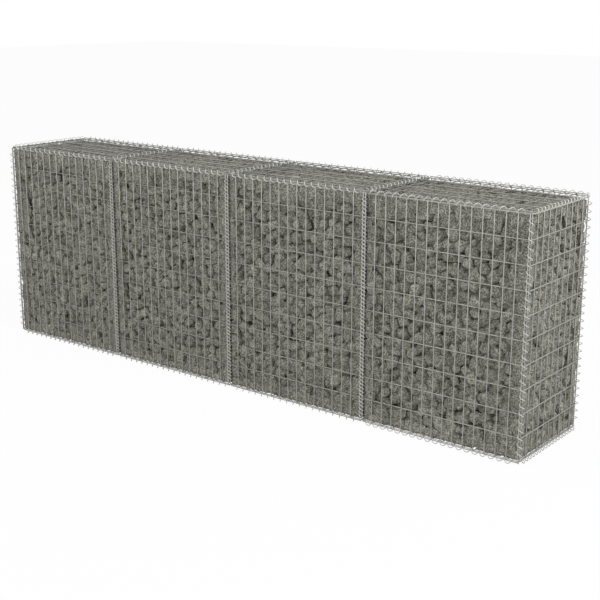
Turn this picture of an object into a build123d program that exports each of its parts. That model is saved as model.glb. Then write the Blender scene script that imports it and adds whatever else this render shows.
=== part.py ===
from build123d import *
import os

# A gabion wall: a row of baskets of welded steel mesh, laced together along every edge with
# spiral wire and filled with broken stone. Units are millimetres. +X runs along the wall,
# +Y from its front to its back and +Z up. The origin is under the middle of the wall, at the
# level of the lowest turns of the bottom spirals, which is where the wall stands.

# ---- driving dimensions ----
BAYS = 4                   # baskets in the row
BAY_WIDTH = 750.0          # front panel of one basket, between the centres of its edge wires
DEPTH = 500.0              # end panel, between the centres of its edge wires
HEIGHT = 1000.0            # every standing panel, between the centres of its edge wires
WIRE = 4.0                 # thickness of a mesh wire
SPIRAL_WIRE = 3.0          # thickness of the lacing wire
FIT = 0.3                  # gap between pieces that bear on each other
FILL_DROP = 12.0           # from the lid's plane down to the top of the stones

# Cells between neighbouring bars. The bars stand where every third upright, every second
# row and every second depth wire of the welded mesh does.
BAY_CELLS = 5              # along the wall
ROW_CELLS = 5              # up a standing panel
CROSS_CELLS = 5            # from front to back of a lid or an end
DIVIDER_CELLS = 2          # from front to back of a divider, where the stones hide it
# Half turns of lacing wire to each of those cells, so that its crossings keep between the bars.
BAY_HALF_TURNS = 3
ROW_HALF_TURNS = 4
CROSS_HALF_TURNS = 2

# ---- what follows from them ----
# Two mesh layers pass each other at a seam, so an edge wire's centre keeps this far from it.
SEAM = 1.5 * WIRE + FIT
PITCH = BAY_WIDTH + 2 * SEAM          # seam to seam along the wall
SEAM_DEPTH = DEPTH + 2 * SEAM         # front seam to back seam
SEAM_HEIGHT = HEIGHT + 2 * SEAM       # bottom seam to top seam
SEAMS = [PITCH * (i - BAYS / 2) for i in range(BAYS + 1)]
BAY_CENTRES = [PITCH * (i + 0.5 - BAYS / 2) for i in range(BAYS)]
FRONT = -SEAM_DEPTH / 2
BACK = SEAM_DEPTH / 2
MIDDLE = SEAM_HEIGHT / 2
# A turn is square, and its four sides pass just outside the edge wires that it laces.
TURN_REACH = SEAM + WIRE / 2 + FIT + SPIRAL_WIRE / 2
RIGHT_HANDED = [(1, 1), (-1, 1), (-1, -1), (1, -1)]
LEFT_HANDED = [(1, 1), (1, -1), (-1, -1), (-1, 1)]
# The hand of each spiral from left to right: one to a seam, and one to a bay along an edge.
SEAM_HANDS = [RIGHT_HANDED] + [LEFT_HANDED] * BAYS
BOTTOM_SEAM_HANDS = [LEFT_HANDED] * BAYS + [RIGHT_HANDED]
TOP_BAY_HANDS = [RIGHT_HANDED] * (BAYS - 1) + [LEFT_HANDED]
BOTTOM_BAY_HANDS = [LEFT_HANDED] * (BAYS - 1) + [RIGHT_HANDED]
# The stones bear on the mesh, and their edges are cut back from the turns of the spirals.
STONE_GAP = WIRE + FIT
STONE_CUT = 2 * (TURN_REACH + SPIRAL_WIRE / 2 + FIT - STONE_GAP)

OUTWARD_FRONT = dict(x_dir=(1, 0, 0), z_dir=(0, -1, 0))
OUTWARD_BACK = dict(x_dir=(-1, 0, 0), z_dir=(0, 1, 0))
OUTWARD_LEFT = dict(x_dir=(0, 0, 1), z_dir=(-1, 0, 0))
OUTWARD_RIGHT = dict(x_dir=(0, 0, 1), z_dir=(1, 0, 0))
OUTWARD_UP = dict(x_dir=(0, 1, 0), z_dir=(0, 0, 1))
OUTWARD_DOWN = dict(x_dir=(0, 1, 0), z_dir=(0, 0, -1))


def steps(span, cells):
    """Places of the bars that part a span, centred on zero, into equal cells."""
    return [span * (i / cells - 0.5) for i in range(cells + 1)]


def mesh_panel(x, y, z, facing, width, width_cells, length, length_cells):
    """A welded panel centred on x, y, z: outer bars run its length, and inner ones its width."""
    place = Plane(origin=(x, y, z), **facing)
    outer = [
        place * Pos(across, 0, WIRE / 2) * Box(WIRE, length + WIRE, WIRE)
        for across in steps(width, width_cells)
    ]
    inner = [
        place * Pos(0, along, -WIRE / 2) * Box(width + WIRE, WIRE, WIRE)
        for along in steps(length, length_cells)
    ]
    return outer[0].fuse(*outer[1:], *inner)


def front_panel(x):
    return mesh_panel(x, FRONT, MIDDLE, OUTWARD_FRONT, BAY_WIDTH, BAY_CELLS, HEIGHT, ROW_CELLS)


def back_panel(x):
    return mesh_panel(x, BACK, MIDDLE, OUTWARD_BACK, BAY_WIDTH, BAY_CELLS, HEIGHT, ROW_CELLS)


def cross_panel(x, facing, depth_cells):
    """An end or a divider, whose outer bars run from front to back."""
    return mesh_panel(x, 0, MIDDLE, facing, HEIGHT, ROW_CELLS, DEPTH, depth_cells)


def lid_panel(x):
    return mesh_panel(x, 0, SEAM_HEIGHT, OUTWARD_UP, DEPTH, CROSS_CELLS, BAY_WIDTH, BAY_CELLS)


def base_panel(x):
    return mesh_panel(x, 0, 0, OUTWARD_DOWN, DEPTH, DIVIDER_CELLS, BAY_WIDTH, BAY_CELLS)


def spiral(place, corners, span, cells, half_turns):
    """Lacing wire about the Z axis of a place at the middle of its seam, in square turns.

    It starts and stops a quarter turn inside the edge wires that cross its ends.
    """
    quarters = 2 * cells * half_turns
    rise = span / quarters
    path = Polyline(
        *(
            (
                TURN_REACH * corners[i % 4][0],
                TURN_REACH * corners[i % 4][1],
                rise * i - span / 2,
            )
            for i in range(1, quarters)
        )
    )
    section = Plane(origin=path @ 0, z_dir=path % 0) * RegularPolygon(SPIRAL_WIRE / 2, 3)
    return place * sweep(section, path, transition=Transition.RIGHT)


def upright_spiral(x, y, hand):
    place = Plane(origin=(x, y, MIDDLE), x_dir=(1, 0, 0), z_dir=(0, 0, 1))
    return spiral(place, hand, HEIGHT, ROW_CELLS, ROW_HALF_TURNS)


def long_spirals(y, z, hands):
    """One spiral to each bay along a front or back edge."""
    return Compound(
        children=[
            spiral(
                Plane(origin=(x, y, z), x_dir=(0, 1, 0), z_dir=(1, 0, 0)),
                hand,
                BAY_WIDTH,
                BAY_CELLS,
                BAY_HALF_TURNS,
            )
            for x, hand in zip(BAY_CENTRES, hands)
        ]
    )


def cross_spirals(z, hands):
    """One spiral at each seam from front to back."""
    return Compound(
        children=[
            spiral(
                Plane(origin=(x, 0, z), x_dir=(0, 0, 1), z_dir=(0, 1, 0)),
                hand,
                DEPTH,
                CROSS_CELLS,
                CROSS_HALF_TURNS,
            )
            for x, hand in zip(SEAMS, hands)
        ]
    )


def stone_fill(x):
    """The stones of one basket as one body, resting on the base panel and short of the lid."""
    block = Pos(x, 0, STONE_GAP) * Box(
        PITCH - 2 * STONE_GAP,
        SEAM_DEPTH - 2 * STONE_GAP,
        SEAM_HEIGHT - STONE_GAP - FILL_DROP,
        align=(Align.CENTER, Align.CENTER, Align.MIN),
    )
    top_edges = block.faces().sort_by(Axis.Z)[-1].edges()
    return chamfer(block.edges() - top_edges, STONE_CUT)


# ---- every piece, with the bottom seams at zero height ----
pieces = {
    "left_end_panel": cross_panel(SEAMS[0], OUTWARD_LEFT, CROSS_CELLS),
    "right_end_panel": cross_panel(SEAMS[-1], OUTWARD_RIGHT, CROSS_CELLS),
    "front_bottom_spirals": long_spirals(FRONT, 0, BOTTOM_BAY_HANDS),
    "back_bottom_spirals": long_spirals(BACK, 0, BOTTOM_BAY_HANDS),
    "front_top_spirals": long_spirals(FRONT, SEAM_HEIGHT, TOP_BAY_HANDS),
    "back_top_spirals": long_spirals(BACK, SEAM_HEIGHT, TOP_BAY_HANDS),
    "bottom_cross_spirals": cross_spirals(0, BOTTOM_SEAM_HANDS),
    "top_cross_spirals": cross_spirals(SEAM_HEIGHT, SEAM_HANDS),
}
for number, x in enumerate(BAY_CENTRES, start=1):
    pieces[f"front_panel_{number}"] = front_panel(x)
    pieces[f"back_panel_{number}"] = back_panel(x)
    pieces[f"lid_panel_{number}"] = lid_panel(x)
    pieces[f"base_panel_{number}"] = base_panel(x)
    pieces[f"stone_fill_{number}"] = stone_fill(x)
for number, x in enumerate(SEAMS[1:-1], start=1):
    pieces[f"divider_panel_{number}"] = cross_panel(x, OUTWARD_RIGHT, DIVIDER_CELLS)
for number, (x, hand) in enumerate(zip(SEAMS, SEAM_HANDS), start=1):
    pieces[f"front_spiral_{number}"] = upright_spiral(x, FRONT, hand)
    pieces[f"back_spiral_{number}"] = upright_spiral(x, BACK, hand)

# ---- stood on the lowest turns, and written out ----
lift = -min(piece.bounding_box().min.Z for piece in pieces.values())
os.makedirs("parts", exist_ok=True)
for name, piece in pieces.items():
    stood = [Pos(0, 0, lift) * solid for solid in piece.solids()]
    export_step(Compound(children=stood), f"parts/{name}.step")
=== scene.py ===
"""A gabion wall dressed in welded wire mesh, lacing spirals and broken stone.

The wall is a row of baskets. Each basket has front, back, lid and base panels of round wire,
the row is closed by two end panels and parted by dividers, and spirals of lacing wire bind
every edge. Lengths are in metres, +X runs along the wall, +Y to its back and +Z up.
"""

import logging
import math
import sys
from collections.abc import Callable, Iterable, Mapping, Sequence
from dataclasses import dataclass, field
from enum import Enum
from typing import NamedTuple

import bpy
import numpy as np
from mathutils import Euler, Matrix, Vector

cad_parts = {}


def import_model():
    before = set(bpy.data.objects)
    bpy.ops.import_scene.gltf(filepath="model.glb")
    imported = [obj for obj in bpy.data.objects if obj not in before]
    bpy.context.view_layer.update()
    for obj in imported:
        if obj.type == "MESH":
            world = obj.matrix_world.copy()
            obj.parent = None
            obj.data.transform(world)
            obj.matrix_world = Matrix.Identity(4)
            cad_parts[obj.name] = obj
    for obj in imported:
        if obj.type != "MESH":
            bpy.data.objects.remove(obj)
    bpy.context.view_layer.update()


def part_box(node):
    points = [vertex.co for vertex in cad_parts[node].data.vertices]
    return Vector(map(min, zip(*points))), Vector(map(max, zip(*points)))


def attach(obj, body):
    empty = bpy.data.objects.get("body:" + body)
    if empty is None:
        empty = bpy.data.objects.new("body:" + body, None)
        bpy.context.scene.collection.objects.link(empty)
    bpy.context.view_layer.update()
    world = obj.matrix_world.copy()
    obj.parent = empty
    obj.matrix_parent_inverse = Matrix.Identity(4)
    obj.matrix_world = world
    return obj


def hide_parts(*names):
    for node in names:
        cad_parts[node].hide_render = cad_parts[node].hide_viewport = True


LOG = logging.getLogger("gabion_wall")
OWN_COLOUR = "own_colour"
WIRE_RADIUS = 0.002  # half the thickness of a mesh wire
FINE_MESH = 0.05  # distance between the close wires of the mesh
WIDE_MESH = 0.10  # distance between its others
SMALL_FACE = 0.25  # a face under this share of the largest one is a worn edge
Socket = bpy.types.NodeSocket
Given = Socket | float | Sequence[float]  # what an input of a node can be joined to or set at


def unit(axis: int, sign: int = 1) -> Vector:
    """Give the unit vector along an axis, or against it."""
    out = Vector((0.0, 0.0, 0.0))
    out[axis] = float(sign)
    return out


class Facing(Enum):
    """The side of the wall that a panel or a stone looks out of, as an axis and a sign."""

    FRONT = (1, -1)
    BACK = (1, 1)
    LEFT = (0, -1)
    RIGHT = (0, 1)
    UP = (2, 1)
    DOWN = (2, -1)

    @property
    def axis(self) -> int:
        """Number of the axis that the side looks along."""
        return self.value[0]

    @property
    def sign(self) -> int:
        """Minus or plus one, towards the low or the high end of that axis."""
        return self.value[1]

    def normal(self) -> Vector:
        """Outward direction of the side."""
        return unit(self.axis, self.sign)

    def turn(self) -> Matrix:
        """Rotation that takes +Z to the outward direction."""
        return self.normal().to_track_quat("Z", "Y").to_matrix()


class Run(Enum):
    """The direction that a straight wire runs in, as an axis number."""

    ALONG = 0
    ACROSS = 1
    UPRIGHT = 2

    def turn(self) -> Matrix:
        """Rotation that takes a wire modelled along Z to this direction."""
        if self is Run.ALONG:
            return Matrix.Rotation(math.radians(90), 3, "Y")
        if self is Run.ACROSS:
            return Matrix.Rotation(math.radians(-90), 3, "X")
        return Matrix.Identity(3)

    def vector(self) -> Vector:
        """Unit vector of the direction."""
        return unit(self.value)


class Winding(Enum):
    """The way that a spiral turns as it rises."""

    RIGHT = 1
    LEFT = -1


# ---- Modelling helpers ----


def clear_selection() -> None:
    """Get ready for a new primitive, with nothing selected."""
    bpy.ops.object.select_all(action="DESELECT")


def set_mode(mode: str) -> None:
    """Switch the active object to EDIT or OBJECT mode."""
    bpy.ops.object.mode_set(mode=mode)


def edit_whole() -> None:
    """Go to edit mode, if need be, and select the whole of the active object."""
    set_mode("EDIT")
    bpy.ops.mesh.select_all(action="SELECT")


def select_only(
    shape: bpy.types.Object, kind: str, chosen: Callable[[bpy.types.bpy_struct], bool]
) -> None:
    """Select edges or faces of a shape in edit mode, with all the rest of it left out.

    Args:
        shape: The object being edited.
        kind: EDGE or FACE.
        chosen: Says whether an edge or a face is wanted.
    """
    set_mode("EDIT")
    bpy.ops.mesh.select_mode(type=kind)
    bpy.ops.mesh.select_all(action="DESELECT")
    set_mode("OBJECT")
    for part in shape.data.edges if kind == "EDGE" else shape.data.polygons:
        part.select = chosen(part)
    set_mode("EDIT")


@dataclass
class Shape:
    """Corners and faces of a modelled shape, kept so that it can be copied many times.

    Attributes:
        points: Corner places, one row each.
        faces: Corner numbers of each face.
        lift: How much lighter each face is than the rest of its stone or wire.
    """

    points: np.ndarray
    faces: list[tuple[int, ...]]
    lift: np.ndarray

    @classmethod
    def taken_from(cls, modelled: bpy.types.Object, lift: float = 0.0) -> "Shape":
        """Read a modelled object and take it out of the scene.

        Args:
            modelled: Object with its place and size in its own transform.
            lift: Extra lightness of faces much smaller than the largest one.

        Returns:
            The shape in the row frame.
        """
        clear_selection()
        modelled.data.transform(modelled.matrix_world)
        points = np.empty(len(modelled.data.vertices) * 3)
        modelled.data.vertices.foreach_get("co", points)
        faces = [tuple(face.vertices) for face in modelled.data.polygons]
        areas = np.array([face.area for face in modelled.data.polygons])
        small = areas < SMALL_FACE * areas.max()
        mesh = modelled.data
        bpy.data.objects.remove(modelled)
        bpy.data.meshes.remove(mesh)
        return cls(points.reshape(-1, 3), faces, np.where(small, lift, 0.0))


@dataclass
class Assembly:
    """A joined mesh that grows copy by copy.

    Attributes:
        name: Name of the finished piece.
        crisp: Angle in degrees past which an edge stays crisp.
        points: Corner places of the copies so far.
        faces: Corner numbers of their faces.
        colours: One colour for each of those faces.
        count: Number of corners so far.
    """

    name: str
    crisp: float = 180.0
    points: list[np.ndarray] = field(default_factory=list)
    faces: list[tuple[int, ...]] = field(default_factory=list)
    colours: list[np.ndarray] = field(default_factory=list)
    count: int = 0

    def add(self, points: np.ndarray, shape: Shape, colour: np.ndarray) -> None:
        """Join one copy of a shape to the piece.

        Args:
            points: The shape's corners where this copy has them.
            shape: The shape that is copied.
            colour: Colour of the copy, before its small faces are lifted.
        """
        base = self.count
        self.points.append(points)
        self.faces.extend(tuple(corner + base for corner in face) for face in shape.faces)
        self.count += len(points)
        self.colours.append(colour[None, :] * (1.0 + shape.lift[:, None]))

    def finished(self, material: bpy.types.Material, slot: str, *nodes: str) -> bpy.types.Object:
        """Make the piece, dress it and let it stand for its nodes.

        Args:
            material: Finish of the whole piece.
            slot: Material slot of the record that the finish belongs to; not used.
            *nodes: Names of the nodes that the piece stands for.

        Returns:
            The piece, at the origin with its place in its mesh.
        """
        mesh = bpy.data.meshes.new(self.name)
        mesh.from_pydata(np.concatenate(self.points).tolist(), [], self.faces)
        mesh.update()
        self.paint(mesh)
        mesh.shade_smooth()
        if self.crisp < 180.0:
            mesh.set_sharp_from_angle(angle=math.radians(self.crisp))
        mesh.materials.append(material)
        piece = bpy.data.objects.new(self.name, mesh)
        bpy.context.scene.collection.objects.link(piece)
        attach(piece, "root")
        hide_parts(*nodes)
        LOG.info("%s: %d faces for %s", self.name, len(mesh.polygons), ", ".join(nodes))
        return piece

    def paint(self, mesh: bpy.types.Mesh) -> None:
        """Write each face's colour to its corners."""
        colours = np.concatenate(self.colours)
        totals = np.empty(len(mesh.polygons), np.int32)
        mesh.polygons.foreach_get("loop_total", totals)
        alpha = np.ones((len(colours), 1))
        corners = np.repeat(np.hstack([colours, alpha]), totals, axis=0)
        layer = mesh.color_attributes.new(OWN_COLOUR, "FLOAT_COLOR", "CORNER")
        layer.data.foreach_set("color", corners.astype(np.float32).ravel())


# ---- Finishes ----


class NodeBoard:
    """A tree of shader nodes, with short ways to add and join them."""

    def __init__(self, tree: bpy.types.NodeTree) -> None:
        """Take a tree to work on."""
        self.tree = tree

    def join(self, node: bpy.types.Node, inputs: Mapping[str | int, Given]) -> None:
        """Link or set some of a node's inputs, where a colour gets full opacity."""
        for key, given in inputs.items():
            if isinstance(given, Socket):
                self.tree.links.new(given, node.inputs[key])
            elif isinstance(given, float):
                node.inputs[key].default_value = given
            else:
                node.inputs[key].default_value = (*given, 1.0)

    def add(
        self, kind: str, inputs: Mapping[str | int, Given], **settings: str
    ) -> bpy.types.NodeOutputs:
        """Add a node of a type, without the words ShaderNode, and give its outputs."""
        node = self.tree.nodes.new(f"ShaderNode{kind}")
        for name, setting in settings.items():
            setattr(node, name, setting)
        self.join(node, inputs)
        return node.outputs

    def seen_rays(self) -> Socket:
        """Add a value that is one where a surface is looked at, mirrored or seen through."""
        path = self.add("LightPath", {})
        seen = path["Is Camera Ray"]
        for kind in ("Is Glossy Ray", "Is Transmission Ray"):
            seen = self.add("Math", {0: seen, 1: path[kind]}, operation="MAXIMUM")[0]
        return seen


class FinishBoard(NodeBoard):
    """The nodes of a finish, with the patterns that finishes are made of."""

    def __init__(self, name: str) -> None:
        """Start a material of that name."""
        self.material = bpy.data.materials.new(name)
        self.material.use_nodes = True
        super().__init__(self.material.node_tree)
        self.shader = self.tree.nodes["Principled BSDF"]
        self.place = self.add("TexCoord", {})["Object"]

    def own(self) -> Socket:
        """Add the colour that each part of the piece has of its own."""
        return self.add("Attribute", {}, attribute_name=OWN_COLOUR)["Color"]

    def noise(self, scale: float, detail: float = 4.0, rough: float = 0.55) -> Socket:
        """Add cloudy noise around one half, with some clouds to the metre."""
        inputs = {"Scale": scale, "Detail": detail, "Roughness": rough, "Vector": self.place}
        return self.add("TexNoise", inputs)["Fac"]

    def ranged(
        self, value: Socket, low: float, high: float, start: float = 0.3, end: float = 0.7
    ) -> Socket:
        """Spread a value between start and end over the range from low to high."""
        given = {"From Min": start, "From Max": end, "To Min": low, "To Max": high, "Value": value}
        return self.add("MapRange", given)["Result"]

    def mixed(self, first: Given, second: Given, share: Given, blend: str = "MIX") -> Socket:
        """Mix two colours by the share of the second one that shows."""
        given = {6: first, 7: second, 0: share}
        return self.add("Mix", given, data_type="RGBA", blend_type=blend)[2]

    def bump(
        self, height: Socket, depth: float, strength: float, under: Socket | None = None
    ) -> Socket:
        """Raise the surface by a height, over a coarser bump if there is one."""
        given = {"Distance": depth, "Strength": strength, "Height": height}
        if under is not None:
            given["Normal"] = under
        return self.add("Bump", given)["Normal"]


@dataclass(frozen=True)
class ZincWire:
    """Hot-dipped zinc on drawn steel wire: dull, pale and faintly mottled.

    Attributes:
        name: Name of the material.
        bright: Colour of clean zinc.
        dull: Colour of zinc that has weathered.
        metallic: How much the surface acts as bare metal.
    """

    name: str
    bright: tuple[float, float, float] = (0.48, 0.48, 0.455)
    dull: tuple[float, float, float] = (0.35, 0.35, 0.325)
    metallic: float = 0.45

    def made(self) -> bpy.types.Material:
        """Build the material."""
        board = FinishBoard(self.name)
        patches = board.noise(scale=38.0, detail=5.0, rough=0.6)
        grain = board.noise(scale=900.0, detail=3.0)
        colour = board.mixed(self.dull, self.bright, board.ranged(patches, low=0.0, high=1.0))
        inputs = {
            "Base Color": board.mixed(colour, board.own(), 1.0, "MULTIPLY"),
            "Roughness": board.ranged(patches, low=0.62, high=0.44),
            "Metallic": self.metallic,
            "Normal": board.bump(grain, depth=0.0002, strength=0.35),
        }
        board.join(board.shader, inputs)
        return board.material


@dataclass(frozen=True)
class BrokenRock:
    """Dry quarried rock, with a colour of its own on each stone.

    Attributes:
        name: Name of the material.
        mottle: How far the mottling darkens and lightens the stone's colour.
        speckle: How far its finer speckles do.
        dust_and_painted_shade: Colour of the dust in its hollows, which is real dust and no
            painted shade.
    """

    name: str
    mottle: tuple[float, float] = (0.72, 1.26)
    speckle: tuple[float, float] = (0.44, 1.54)
    dust_and_painted_shade: tuple[float, float, float] = (0.30, 0.295, 0.265)

    def made(self) -> bpy.types.Material:
        """Build the material."""
        board = FinishBoard(self.name)
        patches = board.noise(scale=70.0, detail=6.0, rough=0.62)
        grain = board.noise(scale=172.0, detail=2.5, rough=0.6)
        grit = board.noise(scale=900.0, detail=2.0)
        pale = board.ranged(patches, low=0.0, high=1.0, start=0.36, end=0.64)
        shaded = self.varied(board, board.own(), self.mottle, pale)
        specks = board.ranged(grain, low=0.0, high=1.0, start=0.40, end=0.60)
        speckled = self.varied(board, shaded, self.speckle, specks)
        dusty = board.ranged(grit, low=0.0, high=0.22, start=0.5, end=0.75)
        coarse = board.bump(patches, depth=0.006, strength=0.8)
        inputs = {
            "Base Color": board.mixed(speckled, self.dust_and_painted_shade, dusty),
            "Roughness": board.ranged(grain, low=0.95, high=0.78),
            "Specular IOR Level": 0.3,
            "Normal": board.bump(grain, depth=0.0016, strength=0.7, under=coarse),
        }
        board.join(board.shader, inputs)
        return board.material

    @staticmethod
    def varied(
        board: FinishBoard, colour: Socket, shades: tuple[float, float], share: Socket
    ) -> Socket:
        """Darken and lighten a colour, with the dark places a little browner."""
        browner = 1.12
        dark, light = ((shade, shade, shade**browner) for shade in shades)
        return board.mixed(colour, board.mixed(dark, light, share), 1.0, "MULTIPLY")


# ---- Welded mesh ----


@dataclass
class WireStock:
    """Round wire cut to length, its cut ends a little rounded.

    Attributes:
        sides: Flats around the wire.
        radius: Half the wire's thickness.
        chamfer: Rounding of the cut ends.
    """

    sides: int = 10
    radius: float = WIRE_RADIUS
    chamfer: float = 0.0005

    def modelled(self) -> Shape:
        """Model one metre of wire along Z, centred on the origin."""
        clear_selection()
        bpy.ops.mesh.primitive_cylinder_add(vertices=self.sides, radius=self.radius, depth=1.0)
        wire = bpy.context.object

        def on_rim(edge: bpy.types.MeshEdge) -> bool:
            """Tell the edges around the ends, which are level."""
            return math.isclose(*(wire.data.vertices[end].co.z for end in edge.vertices))

        select_only(wire, "EDGE", on_rim)
        bpy.ops.mesh.bevel(offset=self.chamfer, segments=1, affect="EDGES")
        set_mode("OBJECT")
        return Shape.taken_from(wire)


@dataclass
class WireLayer:
    """Wires of a panel that run the same way.

    Attributes:
        run: Direction of the wires.
        across: Direction that they are spaced in.
        gap: Distance between neighbouring wires.
        radius: Half the thickness of a wire.
    """

    run: Run
    across: Run
    gap: float
    radius: float = WIRE_RADIUS


@dataclass
class Wire:
    """One straight wire of the mesh.

    Attributes:
        middle: Place of its middle.
        length: Its length.
        layer: The layer that it is in.
    """

    middle: Vector
    length: float
    layer: WireLayer


@dataclass
class WeldedPanel:
    """A panel of mesh, welded where its outer wires cross its inner ones.

    Attributes:
        node: The node that the panel stands for, and whose box gives its place.
        facing: Side of the panel that its outer wires are on.
        dust_and_painted_shade: Share that the inner wires, which lie against the stones, are
            darkened by: painted shade on the fronts, a plain darkening on the lids.
        outer_share: Part of that share which the outer wires have.
        set_down: How far the two layers are pressed into each other at a weld.
    """

    node: str
    facing: Facing
    dust_and_painted_shade: float = 0.0
    outer_share: float = 0.35
    set_down: float = 0.0002

    def layers(self) -> tuple[WireLayer, WireLayer]:
        """Give the outer and the inner wires of the panel."""
        outer, inner = {
            0: ((Run.ACROSS, Run.UPRIGHT, WIDE_MESH), (Run.UPRIGHT, Run.ACROSS, FINE_MESH)),
            1: ((Run.UPRIGHT, Run.ALONG, FINE_MESH), (Run.ALONG, Run.UPRIGHT, WIDE_MESH)),
            2: ((Run.ALONG, Run.ACROSS, WIDE_MESH), (Run.ACROSS, Run.ALONG, FINE_MESH)),
        }[self.facing.axis]
        return WireLayer(*outer), WireLayer(*inner)

    def wires(self) -> list[Wire]:
        """Lay out every wire of the panel."""
        low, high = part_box(self.node)
        found = []
        for side, layer in zip((1, -1), self.layers()):
            middle = (low + high) / 2
            middle[self.facing.axis] += self.facing.sign * side * (layer.radius - self.set_down)
            reach = high[layer.across.value] - low[layer.across.value] - 2 * layer.radius
            cells = round(reach / layer.gap)
            length = high[layer.run.value] - low[layer.run.value]
            for number in range(cells + 1):
                place = middle + layer.across.vector() * reach * (number / cells - 0.5)
                found.append(Wire(place, length, layer))
        return found

    def built(self, stock: Shape, material: bpy.types.Material) -> bpy.types.Object:
        """Weld the panel together from lengths of wire.

        Args:
            stock: One metre of wire.
            material: Finish of the wires.

        Returns:
            The panel.
        """
        panel = Assembly(f"{self.node}_mesh")
        outer = self.layers()[0]
        for wire in self.wires():
            points = stock.points.copy()
            points[:, 2] += np.sign(points[:, 2]) * (wire.length - 1.0) / 2
            points = points @ np.array(wire.layer.run.turn()).T + np.array(wire.middle)
            # Painted shade: the wires are darkened by the panel's share, and the outer ones by
            # part of it.
            brightness_kept = 1.0 - self.dust_and_painted_shade * (self.outer_share if wire.layer == outer else 1.0)
            panel.add(points, stock, np.full(3, brightness_kept))
        return panel.finished(material, "mesh_wire", self.node)


# ---- Lacing spirals ----


@dataclass(frozen=True)
class LacingSpiral:
    """A spiral of lacing wire, wound about a seam.

    Attributes:
        run: Direction of the seam.
        winding: The way that it turns.
        pitch: Rise of one turn.
        turns: Number of whole turns.
        strands: Number of wires wound together.
        reach: Distance from the seam to the middle of the wire.
        radius: Half the wire's thickness.
        steps: Straight pieces to a turn.
        sides: Flats around the wire.
        samples: Places on a turn where its distance to the mesh is measured.
        tries: Starting angles that are tried.
        nearby: How near to the seam a wire of the mesh matters.
    """

    run: Run
    winding: Winding
    pitch: float
    turns: int
    strands: int = 1
    reach: float = 0.0101
    radius: float = 0.0015
    steps: int = 14
    sides: int = 6
    samples: int = 24
    tries: int = 48
    nearby: float = 0.02

    def modelled(self) -> Shape:
        """Wind one strand about Z, with its middle at the origin."""
        clear_selection()
        slope = self.winding.value * math.atan2(self.pitch, 2 * math.pi * self.reach)
        start = -self.pitch * self.turns / 2
        bpy.ops.mesh.primitive_circle_add(
            vertices=self.sides,
            radius=self.radius,
            location=(self.reach, 0.0, start),
            rotation=(math.radians(90) + slope, 0.0, 0.0),
        )
        coil = bpy.context.object
        bpy.ops.object.transform_apply(location=True, rotation=True, scale=True)
        wound = coil.modifiers.new("wound", "SCREW")
        wound.axis = "Z"
        wound.angle = self.winding.value * math.radians(360)
        wound.screw_offset = self.pitch
        wound.iterations = self.turns
        wound.steps = self.steps
        wound.render_steps = self.steps
        bpy.ops.object.modifier_apply(modifier=wound.name)
        edit_whole()
        bpy.ops.mesh.region_to_loop()
        bpy.ops.mesh.fill()
        edit_whole()
        bpy.ops.mesh.normals_make_consistent(inside=False)
        set_mode("OBJECT")
        return Shape.taken_from(coil)

    def centreline(self, turn: float) -> np.ndarray:
        """Give places along the wire, about a Z seam, that starts at an angle."""
        turned = np.linspace(0.0, self.turns, self.turns * self.samples + 1)
        angle = self.winding.value * 2 * math.pi * turned + turn
        rise = self.pitch * (turned - self.turns / 2)
        return np.stack([self.reach * np.cos(angle), self.reach * np.sin(angle), rise], axis=1)

    def starts(self, turn: float) -> list[float]:
        """Give the angle that each strand starts at, where the first starts at a turn."""
        return [turn + 2 * math.pi * strand / self.strands for strand in range(self.strands)]

    def clear_turn(self, seam: Vector, wires: Sequence[Wire]) -> float:
        """Find the angle to start at that keeps the spiral furthest from the mesh.

        Args:
            seam: Middle of the seam.
            wires: Every wire of the mesh.

        Returns:
            The starting angle.
        """
        near = []
        for wire in wires:
            offset = wire.middle - seam
            limits = [self.nearby] * 3
            limits[self.run.value] += self.pitch * self.turns / 2
            limits[wire.layer.run.value] += wire.length / 2
            within = all(abs(offset[axis]) <= limits[axis] for axis in range(3))
            if within and wire.layer.run is not self.run:
                near.append(Wire(offset, wire.length, wire.layer))
        turned = np.array(self.run.turn()).T

        def kept_clear(turn: float) -> float:
            """Measure how far from the mesh the strands keep if they start at an angle."""
            lines = [self.centreline(start) @ turned for start in self.starts(turn)]
            return clearance(np.concatenate(lines), near)

        turns = np.linspace(0.0, 2 * math.pi, self.tries, endpoint=False)
        return float(max(turns, key=kept_clear))


def clearance(line: np.ndarray, wires: Sequence[Wire]) -> float:
    """Measure the least distance from places on a line to the middles of straight wires.

    Args:
        line: The places, one row each.
        wires: The wires.

    Returns:
        The least distance.
    """
    least = math.inf
    for wire in wires:
        away = line - np.array(wire.middle)
        run = wire.layer.run.value
        away[:, run] = np.maximum(np.abs(away[:, run]) - wire.length / 2, 0.0)
        least = min(least, float((away**2).sum(axis=1).min()))
    return math.sqrt(least)


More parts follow.
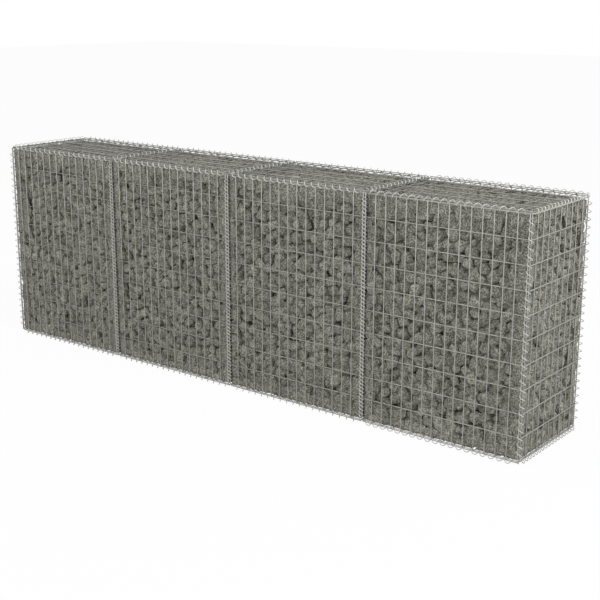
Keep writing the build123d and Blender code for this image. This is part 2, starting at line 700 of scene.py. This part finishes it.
@dataclass
class LacedSeam:
    """A seam of the wall with the spiral, or the row of spirals, that laces it.

    Attributes:
        node: The node that the spirals stand for.
        spirals: Each spiral with the middle of its part of the seam.
        dust_and_painted_shade: Share of painted shade that they are darkened by.
    """

    node: str
    spirals: list[tuple[LacingSpiral, Vector]]
    dust_and_painted_shade: float = 0.0

    def built(
        self,
        wound: dict[LacingSpiral, Shape],
        wires: Sequence[Wire],
        material: bpy.types.Material,
    ) -> bpy.types.Object:
        """Wind the spirals on their seams.

        Args:
            wound: Each kind of spiral about Z.
            wires: Every wire of the mesh, which the spirals keep clear of.
            material: Finish of the lacing wire.

        Returns:
            The spirals as one piece.
        """
        piece = Assembly(f"{self.node}_lacing")
        for spiral, middle in self.spirals:
            for start in spiral.starts(spiral.clear_turn(middle, wires)):
                matrix = np.array(spiral.run.turn() @ Matrix.Rotation(start, 3, "Z"))
                points = wound[spiral].points @ matrix.T + np.array(middle)
                # Painted shade: each spiral is darkened by its seam's share.
                piece.add(points, wound[spiral], np.full(3, 1.0 - self.dust_and_painted_shade))
        return piece.finished(material, "spiral_wire", self.node)


# ---- Stones ----


class Break(NamedTuple):
    """How a stone breaks: lean of its sides, distance of its corners, width of worn edges."""

    lean: float
    corner: float
    wear: float


class Cut(Enum):
    """The kinds of stones, by how they break."""

    ROUGH = Break(lean=0.26, corner=1.05, wear=0.16)
    BLOCKY = Break(lean=0.09, corner=1.48, wear=0.12)
    SHARP = Break(lean=0.26, corner=1.05, wear=0.0)


@dataclass
class Quarry:
    """Breaks a stock of stones, each about two units across with a broad face up.

    Attributes:
        kinds: Number of different stones of each cut.
        seed: Start of the random numbers.
        lumps: Height of the lumps on worn stones.
        back: Height under which a stone is hidden, and left plain.
        merged: Distance under which corners become one.
        broad: Area of a face that is split into triangles.
        large: Area of a top face that is split again.
        top_lean: Most that the top face leans.
        sides: Range of the sides' distance from the middle.
        corner_lean: Lean of the planes that break off corners.
        corner_spread: Range that is added to those planes' distance.
        paling: How much lighter worn edges are, against their width.
    """

    kinds: int = 24
    seed: int = 11
    lumps: float = 0.05
    back: float = -0.30
    merged: float = 0.24
    broad: float = 0.25
    large: float = 0.22
    top_lean: float = 0.12
    sides: tuple[float, float] = (0.84, 1.0)
    corner_lean: float = 0.35
    corner_spread: tuple[float, float] = (-0.08, 0.17)
    paling: float = 0.5

    def broken(self, rng: np.random.Generator, cut: Cut) -> Shape:
        """Break one stone out of a block.

        Args:
            rng: Source of random numbers.
            cut: The way that it breaks.

        Returns:
            The stone about the origin.
        """
        clear_selection()
        bpy.ops.mesh.primitive_cube_add(size=4.0)
        stone = bpy.context.object
        for away, distance in self.breaks(rng, cut):
            edit_whole()
            bpy.ops.mesh.bisect(
                plane_co=away * distance, plane_no=away, use_fill=True, clear_outer=True
            )
        edit_whole()
        bpy.ops.mesh.remove_doubles(threshold=self.merged)
        if cut.value.wear > 0.0:
            self.worn(stone, cut.value.wear)
            bpy.ops.transform.vertex_random(offset=self.lumps, seed=int(rng.integers(1000)))
        bpy.ops.mesh.normals_make_consistent(inside=False)
        set_mode("OBJECT")
        return Shape.taken_from(stone, lift=self.paling * cut.value.wear)

    def worn(self, stone: bpy.types.Object, wear: float) -> None:
        """Wear the edges that can be seen, and split the broad faces finely enough for lumps.

        Args:
            stone: The stone, in edit mode.
            wear: Width of the worn edges.
        """

        def seen(edge: bpy.types.MeshEdge) -> bool:
            """Tell the edges that reach above the hidden back."""
            return max(stone.data.vertices[end].co.z for end in edge.vertices) > self.back

        select_only(stone, "EDGE", seen)
        bpy.ops.mesh.bevel(offset=wear, segments=1, affect="EDGES", clamp_overlap=True)
        select_only(stone, "FACE", lambda face: face.area > self.broad and face.normal.z > -0.5)
        bpy.ops.mesh.poke()
        select_only(stone, "FACE", lambda face: face.area > self.large and face.normal.z > 0.5)
        bpy.ops.mesh.subdivide(number_cuts=1)
        edit_whole()
        bpy.ops.mesh.quads_convert_to_tris()

    def breaks(self, rng: np.random.Generator, cut: Cut) -> list[tuple[Vector, float]]:
        """Choose the planes that a stone breaks along.

        Args:
            rng: Source of random numbers.
            cut: The way that it breaks.

        Returns:
            The outward direction of each plane and its distance from the middle.
        """
        planes = []
        for facing in Facing:
            lean = min(cut.value.lean, self.top_lean) if facing is Facing.UP else cut.value.lean
            away = facing.normal() + Vector(rng.normal(0.0, lean, 3))
            planes.append((away.normalized(), float(rng.uniform(*self.sides))))
        for corner in [Vector((x, y, 1)) for x in (-1, 1) for y in (-1, 1)]:
            away = corner + Vector(rng.normal(0.0, self.corner_lean, 3))
            distance = cut.value.corner + float(rng.uniform(*self.corner_spread))
            planes.append((away.normalized(), distance))
        return planes

    def stock(self) -> dict[Cut, list[Shape]]:
        """Break the whole stock, and sort it by cut."""
        rng = np.random.default_rng(self.seed)
        return {cut: [self.broken(rng, cut) for _ in range(self.kinds)] for cut in Cut}


@dataclass
class Stone:
    """A stone's seat in the fill.

    Attributes:
        middle: Middle of the stone.
        half: Half its breadth.
        facings: Sides of the fill that it shows on, two where it lies along an edge.
        recess: Depth of its face behind the mesh.
        shown: Whether it lies against the mesh, and not behind other stones.
    """

    middle: np.ndarray
    half: float
    facings: tuple[Facing, ...]
    recess: float
    shown: bool = True

    def cut(self) -> Cut:
        """Choose the cut that suits the seat."""
        if not self.shown or self.facings == (Facing.DOWN,):
            return Cut.SHARP
        return Cut.BLOCKY if len(self.facings) > 1 else Cut.ROUGH

    def loose(self) -> np.ndarray:
        """Mark the axes that the stone may slide along."""
        free = np.ones(3)
        for facing in self.facings:
            free[facing.axis] = 0.0
        return free


@dataclass(frozen=True)
class RockTints:
    """Colours of the stones in one fill.

    Attributes:
        tints: The colours that occur.
        shares: How often each one does.
        spread: How much stones of one colour differ in lightness.
        limits: Darkest and lightest that a stone may be, against its colour.
        heart: Lightness of the heart against the last colour, darker than any stone as painted
            shade deep between the stones.
    """

    tints: tuple[tuple[float, float, float], ...] = (
        (0.231, 0.226, 0.185),
        (0.251, 0.246, 0.201),
        (0.218, 0.215, 0.177),
        (0.234, 0.226, 0.190),
        (0.199, 0.196, 0.166),
    )
    shares: tuple[float, ...] = (0.42, 0.18, 0.20, 0.08, 0.12)
    spread: float = 0.08
    limits: tuple[float, float] = (0.75, 1.25)
    heart: float = 0.8

    def picked(self, rng: np.random.Generator) -> np.ndarray:
        """Pick one stone's colour."""
        tint = np.array(self.tints[rng.choice(len(self.tints), p=self.shares)])
        return tint * float(np.clip(rng.normal(1.0, self.spread), *self.limits))


@dataclass(frozen=True)
class Packing:
    """How closely stones are strewn, and how deep behind the mesh their faces lie.

    Attributes:
        halves: Smallest, commonest and largest half breadth of a stone.
        crowd: How tightly the sides are packed.
        flush: Share of the stones whose faces lie close behind the mesh.
        close: Range of those faces' depths.
        deep: Range of the other faces' depths.
        edge: Range of depths along an edge.
        thick: Share of its half breadth from a stone's middle to its face.
        margin: Share of its half breadth that a stone keeps from an edge.
        edge_gap: Spacing along an edge, in commonest half breadths.
        edge_strip: What the edges take off the span of a side, in the same.
        stretch: Range of length, breadth and thickness, in half breadths.
    """

    halves: tuple[float, float, float] = (0.016, 0.025, 0.034)
    crowd: float = 0.30
    flush: float = 0.62
    close: tuple[float, float] = (0.0003, 0.005)
    deep: tuple[float, float] = (0.006, 0.024)
    edge: tuple[float, float] = (-0.010, -0.002)
    thick: float = 0.86
    margin: float = 0.80
    edge_gap: float = 1.46
    edge_strip: float = 3.0
    stretch: tuple[tuple[float, float, float], ...] = ((0.96, 0.82, 0.80), (1.20, 1.0, 1.0))


@dataclass(frozen=True)
class Plugging:
    """Smaller stones that close wide gaps.

    Attributes:
        widest: Half breadth of the widest gap that may stay open.
        tick: Distance between the places that are tried.
        covered: Share of its half breadth over which a settled stone leaves no gap.
        tight: Half breadth of a plug against that of its gap.
        depths: Range of the depth of its face.
    """

    widest: float = 0.010
    tick: float = 0.01
    covered: float = 0.92
    tight: float = 1.15
    depths: tuple[float, float] = (0.004, 0.012)


@dataclass(frozen=True)
class HiddenLayer:
    """Stones that only show through gaps.

    Attributes:
        half: Half their breadth.
        margin: Distance that their middles keep from an edge.
        depths: Range of the depth of their middles.
        closeness: How tightly they are packed over a side, or how widely along an edge.
    """

    half: float
    margin: float
    depths: tuple[float, float]
    closeness: float


@dataclass(frozen=True)
class Limits:
    """Where stones have to stop, beside the planes of their room.

    Attributes:
        clear: How far they keep from the middle of a seam, past the turns of its spiral.
        inset: How far the sides of the fill lie inside the seams.
        level: How much the faces that are pressed back differ in depth.
        spare: Largest number that a stone can draw for its distance from a seam.
        slack: Share of that number by which it keeps further away than it must.
        seldom: A stone that draws less than this isn't cut steeply beside an end panel.
        steep: Direction of a steep cut, along the wall and across it.
        bulge: How far stones fill an open cell of a divider or an end panel.
        half_row: Half the height that is open between two rows of a panel.
        beside_divider: Depth behind the front and the back of the open cells of a divider.
        beside_end: Depth of those of an end panel.
        upright: Distance from the wall's middle plane to the outside of its second uprights.
    """

    clear: float = 0.01174
    inset: float = 0.0043
    level: float = 0.0014
    spare: float = 0.001
    slack: float = 0.7
    seldom: float = 0.0001
    steep: tuple[float, float] = (0.28, 0.96)
    bulge: float = 0.0039
    half_row: float = 0.043
    beside_divider: float = 0.040
    beside_end: float = 0.036
    upright: float = 0.2025


@dataclass
class StoneFill:
    """The stones of one basket, settled against its mesh and over a rough heart.

    Attributes:
        node: The node that the stones stand for, and whose box gives their room.
        seed: Start of the random numbers.
        sides: Sides of the basket that show.
        packing: How the stones that show are strewn.
        plugging: How the gaps between them are closed.
        behind_sides: Stones behind the sides.
        behind_edges: Stones behind the edges.
        limits: Where they have to stop.
        tints: Colours of the stones.
    """

    node: str
    seed: int
    sides: tuple[Facing, ...]
    packing: Packing = Packing()
    plugging: Plugging = Plugging()
    behind_sides: HiddenLayer = HiddenLayer(0.036, 0.022, (0.054, 0.068), 0.30)
    behind_edges: HiddenLayer = HiddenLayer(0.024, 0.024, (0.026, 0.034), 1.3)
    limits: Limits = Limits()
    tints: RockTints = RockTints()

    def __post_init__(self) -> None:
        """Read the room that the stones have."""
        low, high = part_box(self.node)
        self.low = np.array(low)
        self.high = np.array(high)
        self.rng = np.random.default_rng(self.seed)

    def wall_place(self, facing: Facing, depth: float) -> float:
        """Give the coordinate at a depth behind one side."""
        edge = self.high if facing.sign > 0 else self.low
        return float(edge[facing.axis] - facing.sign * depth)

    def recess(self) -> float:
        """Choose how far a stone's face lies behind the mesh."""
        flush = self.rng.random() < self.packing.flush
        return float(self.rng.uniform(*(self.packing.close if flush else self.packing.deep)))

    def strewn(self, count: int, facings: tuple[Facing, ...]) -> list[Stone]:
        """Strew stones over one side, along the edge between two or in the corner of three.

        Args:
            count: Number of stones.
            facings: The sides.

        Returns:
            The stones, before they settle.
        """
        found = []
        for _ in range(count):
            half = float(self.rng.triangular(*self.packing.halves))
            if len(facings) == 1:
                recess = self.recess()
            else:
                recess = float(self.rng.uniform(*self.packing.edge))
            margin = self.packing.margin * half
            middle = self.rng.uniform(self.low + margin, self.high - margin)
            for facing in facings:
                middle[facing.axis] = self.wall_place(facing, self.packing.thick * half + recess)
            found.append(Stone(middle, half, facings, recess))
        return found

    @staticmethod
    def edges() -> list[tuple[int, tuple[Facing, Facing]]]:
        """List the edges of the fill: the axis that each runs along and its two sides."""
        pairs = [(one, other) for one in Facing for other in Facing if one.axis < other.axis]
        return [(3 - one.axis - other.axis, (one, other)) for one, other in pairs]

    def outside(self) -> list[Stone]:
        """Strew the outermost stones: in the corners, along the edges and over the sides."""
        span = self.high - self.low
        common = self.packing.halves[1]
        found = []
        for run, sides in self.edges():
            found += self.strewn(round(span[run] / (self.packing.edge_gap * common)) - 2, sides)
            if run == Run.UPRIGHT.value:
                found += self.strewn(1, (*sides, Facing.UP))
                found += self.strewn(1, (*sides, Facing.DOWN))
        for facing in self.sides:
            room = 1.0
            for axis in {0, 1, 2} - {facing.axis}:
                room *= span[axis] - self.packing.edge_strip * common
            found += self.strewn(round(self.packing.crowd * room / common**2), (facing,))
        return found

    def plugs(self, stones: Sequence[Stone]) -> list[Stone]:
        """Set smaller stones into the wide gaps that the settled ones leave.

        Args:
            stones: The settled stones.

        Returns:
            The smaller stones.
        """
        way = self.plugging
        first, last = self.low + way.tick / 2, self.high - 0.4 * way.tick
        found = []
        for facing in self.sides:
            axes = [axis for axis in range(3) if axis != facing.axis]
            ticks = [np.arange(first[axis], last[axis], way.tick) for axis in axes]
            spots = np.stack([grid.ravel() for grid in np.meshgrid(*ticks)], axis=1)
            room = np.full(len(spots), math.inf)
            for stone in stones:
                if facing in stone.facings:
                    apart = np.linalg.norm(spots - stone.middle[axes], axis=1)
                    room = np.minimum(room, apart - way.covered * stone.half)
            while room.max() > way.widest:
                half = min(way.tight * float(room.max()), self.packing.halves[1])
                recess = float(self.rng.uniform(*way.depths))
                middle = np.zeros(3)
                middle[axes] = spots[room.argmax()]
                middle[facing.axis] = self.wall_place(facing, self.packing.thick * half + recess)
                found.append(Stone(middle, half, (facing,), recess))
                room = np.minimum(room, np.linalg.norm(spots - middle[axes], axis=1) - half)
        return found

    def hidden(self, count: int, facings: tuple[Facing, ...], layer: HiddenLayer) -> list[Stone]:
        """Strew stones behind one side or behind the edge between two.

        Args:
            count: Number of stones.
            facings: The sides.
            layer: What the stones are like.

        Returns:
            The stones, before they settle.
        """
        found = []
        for _ in range(count):
            middle = self.rng.uniform(self.low + layer.margin, self.high - layer.margin)
            for facing in facings:
                middle[facing.axis] = self.wall_place(facing, self.rng.uniform(*layer.depths))
            found.append(Stone(middle, layer.half, facings, 0.0, False))
        return found

    def behind(self) -> list[Stone]:
        """Strew the stones that only show through gaps."""
        span = self.high - self.low
        found = []
        layer = self.behind_sides
        for facing in self.sides:
            area = span.prod() / span[facing.axis]
            count = round(layer.closeness * area / layer.half**2)
            found += self.hidden(count, (facing,), layer)
        layer = self.behind_edges
        for run, sides in self.edges():
            found += self.hidden(round(span[run] / (layer.closeness * layer.half)), sides, layer)
        return found

    def settle(self, stones: list[Stone], rounds: int, margin: float) -> None:
        """Slide stones along their sides until they lie evenly.

        Args:
            stones: The stones to settle.
            rounds: Number of small moves.
            margin: Share of its half breadth that a stone keeps from an edge.
        """
        renewed = 10  # moves after which the neighbours are looked for again
        nearby = 1.35  # how far apart neighbours may be, against touching stones
        middle = np.array([stone.middle for stone in stones])
        half = np.array([[stone.half] for stone in stones])
        free = np.array([stone.loose() for stone in stones])
        low = np.where(free > 0, self.low + margin * half, middle)
        high = np.where(free > 0, self.high - margin * half, middle)
        for turn in range(rounds):
            if turn % renewed == 0:
                gaps = (middle[:, None, axis] - middle[None, :, axis] for axis in range(3))
                reach = nearby * (half + half.T)
                one, other = np.nonzero(np.triu(sum(gap**2 for gap in gaps) < reach**2, 1))
            offset = middle[one] - middle[other]
            distance = np.linalg.norm(offset, axis=1, keepdims=True) + 1e-9
            push = 0.5 * np.maximum(half[one] + half[other] - distance, 0.0) * offset / distance
            np.add.at(middle, one, push * free[one])
            np.subtract.at(middle, other, push * free[other])
            middle = np.clip(middle, low, high)
        for stone, place in zip(stones, middle):
            stone.middle = place

    def kept_inside(self, points: np.ndarray) -> np.ndarray:
        """Press corners back behind the mesh and clear of the lacing spirals.

        Each stone stops at a level of its own, so that no two faces share a plane. Beside an
        end panel most stones are cut steeply at the seam, which leaves less of a gap there.

        Args:
            points: Corners of a stone.

        Returns:
            The corners, moved where they have to be.
        """
        limits = self.limits
        low, high = self.room_at(points)
        low += self.rng.uniform(0.0, limits.level, 3)
        high -= self.rng.uniform(0.0, limits.level, 3)
        points = np.clip(points, low, high)
        edge = {-1: self.low, 1: self.high}
        spare = float(self.rng.uniform(0.0, limits.spare))
        ends = {-1: Facing.LEFT in self.sides, 1: Facing.RIGHT in self.sides}
        even = math.sqrt(0.5)
        for one, other in ((0, 1), (0, 2), (1, 2)):
            for first in (-1, 1):
                steep = other == 1 and ends[first] and spare > limits.seldom
                across, along = limits.steep if steep else (even, even)
                kept = limits.clear + limits.slack * spare - limits.inset * (across + along)
                for second in (-1,) if other == 2 else (-1, 1):
                    depth = across * first * (edge[first][one] - points[:, one])
                    depth += along * second * (edge[second][other] - points[:, other])
                    lack = np.maximum(kept - depth, 0.0)
                    points[:, one] -= first * lack * across
                    points[:, other] -= second * lack * along
        return points

    def room_at(self, points: np.ndarray) -> tuple[np.ndarray, np.ndarray]:
        """Give the limits of the stones' room at some places.

        Near the front and the back, stones that lie within one cell of a divider or an end
        panel bulge into it. A stone that spans one of its wires stays behind them.

        Args:
            points: The places, one row each.

        Returns:
            The lowest and the highest coordinates there.
        """
        limits = self.limits
        low = np.tile(self.low, (len(points), 1))
        high = np.tile(self.high, (len(points), 1))
        height = points[:, 2] - self.low[2] - WIRE_RADIUS
        in_row = np.abs(height % WIDE_MESH - WIDE_MESH / 2) < limits.half_row
        from_middle = np.abs(points[:, 1])
        near_face = from_middle > self.high[1] - limits.beside_divider
        bulge = np.where(in_row & near_face, limits.bulge, 0.0)
        at_end = np.where(from_middle > self.high[1] - limits.beside_end, limits.bulge, 0.0)
        past_row = np.ptp(height // WIDE_MESH) > 0.0
        past_upright = from_middle.min() < limits.upright
        if Facing.LEFT in self.sides:
            low[:, 0] -= 0.0 if past_upright else at_end
        else:
            low[:, 0] -= 0.0 if past_row else bulge
        if not past_upright:
            high[:, 0] += at_end if Facing.RIGHT in self.sides else bulge
        return low, high

    def placed(self, stone: Stone, shape: Shape) -> np.ndarray:
        """Turn a stone into its seat.

        Args:
            stone: The seat.
            shape: The stone that goes there.

        Returns:
            The stone's corners.
        """
        rng = self.rng
        stretch = rng.uniform(*self.packing.stretch) * stone.half
        tilt = 0.18
        spin = float(rng.uniform(0.0, 2 * math.pi))
        if len(stone.facings) > 1:
            tilt = 0.05
            spin = math.radians(90) * int(rng.integers(4))
        own = Euler((float(rng.normal(0, tilt)), float(rng.normal(0, tilt)), 0.0)).to_matrix()
        matrix = stone.facings[0].turn() @ own @ Matrix.Rotation(spin, 3, "Z")
        points = (shape.points * stretch) @ np.array(matrix).T + stone.middle
        if stone.shown:
            for facing in stone.facings:
                axis, sign = facing.value
                outermost = (points[:, axis] * sign).max() * sign
                points[:, axis] += self.wall_place(facing, stone.recess) - outermost
        return self.kept_inside(points)

    def heart(self, margin: float = 0.016, depth: float = 0.068, rough: float = 0.012) -> Shape:
        """Model the rough heart that closes the view between the stones.

        Args:
            margin: Distance that it keeps from a divider.
            depth: Distance that it keeps from the sides that show.
            rough: Height of its lumps.

        Returns:
            The heart as a shape.
        """
        clear_selection()
        low = self.low + margin
        high = self.high - margin
        for facing in self.sides:
            (high if facing.sign > 0 else low)[facing.axis] = self.wall_place(facing, depth)
        bpy.ops.mesh.primitive_cube_add(
            size=1.0, location=tuple((low + high) / 2), scale=tuple(high - low)
        )
        block = bpy.context.object
        bpy.ops.object.transform_apply(location=True, rotation=True, scale=True)
        edit_whole()
        bpy.ops.mesh.subdivide(number_cuts=12)
        bpy.ops.transform.vertex_random(offset=rough, seed=self.seed)
        set_mode("OBJECT")
        return Shape.taken_from(block)

    def built(
        self, stock: Mapping[Cut, Sequence[Shape]], material: bpy.types.Material
    ) -> bpy.types.Object:
        """Fill the basket.

        Args:
            stock: Stones of each cut.
            material: Finish of the stones.

        Returns:
            The fill as one piece.
        """
        outside = self.outside()
        self.settle(outside, rounds=90, margin=self.packing.margin)
        outside += self.plugs(outside)
        behind = self.behind()
        self.settle(behind, rounds=20, margin=0.60)
        piece = Assembly(f"{self.node}_stones", crisp=55.0)
        heart = self.heart()
        # The heart is coloured darker than the stones: painted shade for the depth of the gaps.
        piece.add(heart.points, heart, np.array(self.tints.tints[-1]) * self.tints.heart)
        for stone in outside + behind:
            kinds = stock[stone.cut()]
            shape = kinds[int(self.rng.integers(len(kinds)))]
            piece.add(self.placed(stone, shape), shape, self.tints.picked(self.rng))
        LOG.info("%s: %d stones outside, %d behind", self.node, len(outside), len(behind))
        return piece.finished(material, "stone", self.node)


# ---- The whole wall ----


@dataclass
class GabionWall:
    """The row of baskets.

    Attributes:
        bays: Number of baskets.
        dust_and_painted_shade: Share of painted shade on the inner wires of each front, heaviest
            in the bays furthest left, whose wires catch less highlight.
        lid_darkening: Share that the inner wires of the lids are darkened by.
        back_painted_shade: Share of painted shade on the back spirals.
        bottom_painted_shade: How much more painted shade the bottom rows of spirals have, down in
            the wall's shade.
        upright_share: Part of its bay's painted shade that an upright spiral is darkened by too.
        cross_painted_shade: Share of painted shade on the bottom cross spirals.
        coils: Rise of one turn and number of turns of a spiral in each direction.
        mesh_wire: Finish of the welded mesh.
        lacing_wire: Finish of the lacing spirals, paler than the mesh as painted light on their
            lit sides.
        rock: Finish of the stones.
    """

    bays: int = 4
    # Painted shade on the front wires, heavier in the bays further left, where they catch less
    # highlight.
    dust_and_painted_shade: tuple[float, ...] = (0.34, 0.30, 0.16, 0.0)
    lid_darkening: float = 0.30
    back_painted_shade: float = 0.22
    bottom_painted_shade: float = 0.35
    upright_share: float = 0.3
    cross_painted_shade: float = 0.45
    coils: Mapping[Run, tuple[float, int]] = field(
        default_factory=lambda: {
            Run.UPRIGHT: (WIDE_MESH / 3, 29),
            Run.ALONG: (0.0375, 19),
            Run.ACROSS: (0.5 / 17.5, 17),
        }
    )
    mesh_wire: ZincWire = ZincWire("zinc_mesh_wire")
    # The lacing is paler than the mesh wire: painted light for the lit sides of the spirals, whose
    # shaded rows are darkened in seams().
    lacing_wire: ZincWire = ZincWire(
        "zinc_lacing_wire", bright=(0.74, 0.74, 0.71), dull=(0.57, 0.57, 0.545)
    )
    rock: BrokenRock = BrokenRock("broken_rock")

    def panels(self) -> list[WeldedPanel]:
        """List the panels of every basket, the ends and the dividers."""
        found = [
            WeldedPanel("left_end_panel", Facing.LEFT),
            WeldedPanel("right_end_panel", Facing.RIGHT),
        ]
        for bay in range(1, self.bays + 1):
            found += [
                # The fronts carry painted shade on their wires, and the lids are darkened.
                WeldedPanel(f"front_panel_{bay}", Facing.FRONT, self.dust_and_painted_shade[bay - 1]),
                WeldedPanel(f"back_panel_{bay}", Facing.BACK),
                WeldedPanel(f"lid_panel_{bay}", Facing.UP, self.lid_darkening),
                WeldedPanel(f"base_panel_{bay}", Facing.DOWN),
            ]
        for seam in range(1, self.bays):
            found.append(WeldedPanel(f"divider_panel_{seam}", Facing.RIGHT))
        return found

    def seams(self) -> list[LacedSeam]:
        """List the seams with their spirals, which are double where two baskets meet."""
        left, right = Winding.LEFT, Winding.RIGHT
        found = []
        # Painted shade on the back uprights, and on the uprights of the bays further left.
        for side, dust_and_painted_shade in (("front", 0.0), ("back", self.back_painted_shade)):
            for seam in range(1, self.bays + 2):
                node = f"{side}_spiral_{seam}"
                hand = right if seam == 1 else left
                strands = 2 if 1 < seam <= self.bays else 1
                upright = LacingSpiral(Run.UPRIGHT, hand, *self.coils[Run.UPRIGHT], strands)
                share = dust_and_painted_shade + self.upright_share * self.dust_and_painted_shade[min(seam, self.bays) - 1]
                found.append(LacedSeam(node, [(upright, middle_of(node))], share))
        bays = [middle_of(f"front_panel_{bay}").x for bay in range(1, self.bays + 1)]
        columns = [middle_of(f"front_spiral_{seam}").x for seam in range(1, self.bays + 2)]
        bottom = list(zip(bays, [left] * (self.bays - 1) + [right]))
        top = list(zip(bays, [right] * (self.bays - 1) + [left]))
        bottom_cross = list(zip(columns, [left] * self.bays + [right]))
        top_cross = list(zip(columns, [right] + [left] * self.bays))
        # Painted shade on the bottom and back rows of spirals, which lie in shade.
        for node, run, row, share in (
            ("front_bottom_spirals", Run.ALONG, bottom, self.bottom_painted_shade),
            ("front_top_spirals", Run.ALONG, top, 0.0),
            ("back_bottom_spirals", Run.ALONG, bottom, self.back_painted_shade + self.bottom_painted_shade),
            ("back_top_spirals", Run.ALONG, top, self.back_painted_shade),
            ("bottom_cross_spirals", Run.ACROSS, bottom_cross, self.cross_painted_shade),
            ("top_cross_spirals", Run.ACROSS, top_cross, 0.0),
        ):
            found.append(LacedSeam(node, self.laced_row(node, run, row), share))
        return found

    def laced_row(
        self, node: str, run: Run, row: Iterable[tuple[float, Winding]]
    ) -> list[tuple[LacingSpiral, Vector]]:
        """Lay out the spirals of one node along the wall, each with its middle."""
        _, y, z = middle_of(node)
        return [(LacingSpiral(run, hand, *self.coils[run]), Vector((x, y, z))) for x, hand in row]

    def weld(self) -> None:
        """Build every panel and lace the seams."""
        panels = self.panels()
        wires = [wire for panel in panels for wire in panel.wires()]
        stock = WireStock().modelled()
        zinc = self.mesh_wire.made()
        for panel in panels:
            panel.built(stock, zinc)
        lacing = self.lacing_wire.made()
        seams = self.seams()
        kinds = dict.fromkeys(spiral for seam in seams for spiral, _ in seam.spirals)
        wound = {spiral: spiral.modelled() for spiral in kinds}
        for seam in seams:
            seam.built(wound, wires, lacing)

    def fill(self) -> None:
        """Fill every basket with stones."""
        stock = Quarry().stock()
        rock = self.rock.made()
        for bay in range(1, self.bays + 1):
            sides = [Facing.FRONT, Facing.BACK, Facing.UP, Facing.DOWN]
            if bay == 1:
                sides.append(Facing.LEFT)
            if bay == self.bays:
                sides.append(Facing.RIGHT)
            StoneFill(f"stone_fill_{bay}", 40 + bay, tuple(sides)).built(stock, rock)


def middle_of(node: str) -> Vector:
    """Give the middle of a node's box."""
    low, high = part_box(node)
    return (low + high) / 2


# ---- Studio ----


@dataclass
class Studio:
    """A pale floor, soft light and the camera.

    Attributes:
        eye: Place of the camera.
        bearing: Angle of its view, in degrees to the left of the back.
        dip: Angle of its view below level, in degrees.
        roll: Angle that it leans by, in degrees.
        lens: Focal length in millimetres.
        sensor: Width of its sensor in millimetres.
        sky: Strength of the light from all round.
        grey: Lightness of the floor under the wall's shadow.
        glow: Share of white in the floor where it is looked at.
        breadth: Breadth of a lamp's face.
    """

    eye: tuple[float, float, float] = (3.4280, -4.1247, 1.8107)
    bearing: float = 37.837
    dip: float = 14.951
    roll: float = 0.126
    lens: float = 68.578
    sensor: float = 36.0
    sky: float = 0.50
    grey: float = 0.90
    glow: float = 0.95
    breadth: float = 2.5

    def camera(self) -> None:
        """Set up the camera."""
        data = bpy.data.cameras.new("camera")
        data.lens = self.lens
        data.sensor_width = self.sensor
        data.dof.use_dof = False
        data.clip_end = 200.0
        camera = bpy.data.objects.new("camera", data)
        turn = (
            Matrix.Rotation(math.radians(self.bearing), 4, "Z")
            @ Matrix.Rotation(math.radians(90 - self.dip), 4, "X")
            @ Matrix.Rotation(math.radians(self.roll), 4, "Z")
        )
        camera.matrix_world = Matrix.Translation(self.eye) @ turn
        bpy.context.scene.collection.objects.link(camera)
        bpy.context.scene.camera = camera

    def floor(self) -> None:
        """Lay the floor, white to look at and still holding the wall's shadow."""
        clear_selection()
        bpy.ops.mesh.primitive_plane_add(size=60.0)
        floor = bpy.context.object
        floor.name = "studio_floor"
        material = bpy.data.materials.new(floor.name)
        material.use_nodes = True
        board = NodeBoard(material.node_tree)
        board.tree.nodes.clear()
        matt = board.add("BsdfDiffuse", {"Color": (self.grey,) * 3})
        glow = board.add("Emission", {"Strength": 1.0})
        share = board.add("Math", {0: board.seen_rays(), 1: self.glow}, operation="MULTIPLY")
        mix = board.add("MixShader", {0: share[0], 1: matt[0], 2: glow[0]})
        board.add("OutputMaterial", {"Surface": mix[0]})
        floor.data.materials.append(material)

    def world(self) -> None:
        """Set the soft light that comes from all round, white to look at."""
        world = bpy.data.worlds.new("studio")
        world.use_nodes = True
        bpy.context.scene.world = world
        board = NodeBoard(world.node_tree)
        soft = board.tree.nodes["Background"]
        white = (1.0, 1.0, 1.0)
        board.join(soft, {"Color": white, "Strength": self.sky})
        plain = board.add("Background", {"Color": white, "Strength": 1.0})
        mix = board.add("MixShader", {0: board.seen_rays(), 1: soft.outputs[0], 2: plain[0]})
        board.join(board.tree.nodes["World Output"], {"Surface": mix[0]})

    def lamp(self, name: str, place: Sequence[float], aim: Sequence[float], power: float) -> None:
        """Hang a soft lamp.

        Args:
            name: Name of the lamp.
            place: Where it hangs.
            aim: The place that it shines at.
            power: Its power in watts.
        """
        data = bpy.data.lights.new(name, "AREA")
        data.shape = "DISK"
        data.size = self.breadth
        data.energy = power
        lamp = bpy.data.objects.new(name, data)
        lamp.location = place
        lamp.rotation_euler = (Vector(aim) - Vector(place)).to_track_quat("-Z", "Y").to_euler()
        bpy.context.scene.collection.objects.link(lamp)

    def built(self) -> None:
        """Set up the whole studio."""
        self.camera()
        self.floor()
        self.world()
        self.lamp("key_lamp", place=(6.0, -1.5, 6.5), aim=(0.0, 0.0, 0.5), power=360.0)
        self.lamp("side_lamp", place=(-4.5, -6.5, 5.0), aim=(-0.3, 0.0, 0.5), power=185.0)
        bpy.context.scene.view_settings.view_transform = "Standard"


def corners(bounds: Sequence[Sequence[float]]) -> list[list[float]]:
    """Turn a box into plain lists of numbers."""
    return [[float(number) for number in corner] for corner in bounds]


def main() -> None:
    """Load the frame, and build the wall and its studio."""
    logging.basicConfig(level=logging.INFO, format="%(message)s", stream=sys.stdout)
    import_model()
    wall = GabionWall()
    wall.weld()
    wall.fill()
    Studio().built()


if __name__ == "__main__":
    main()
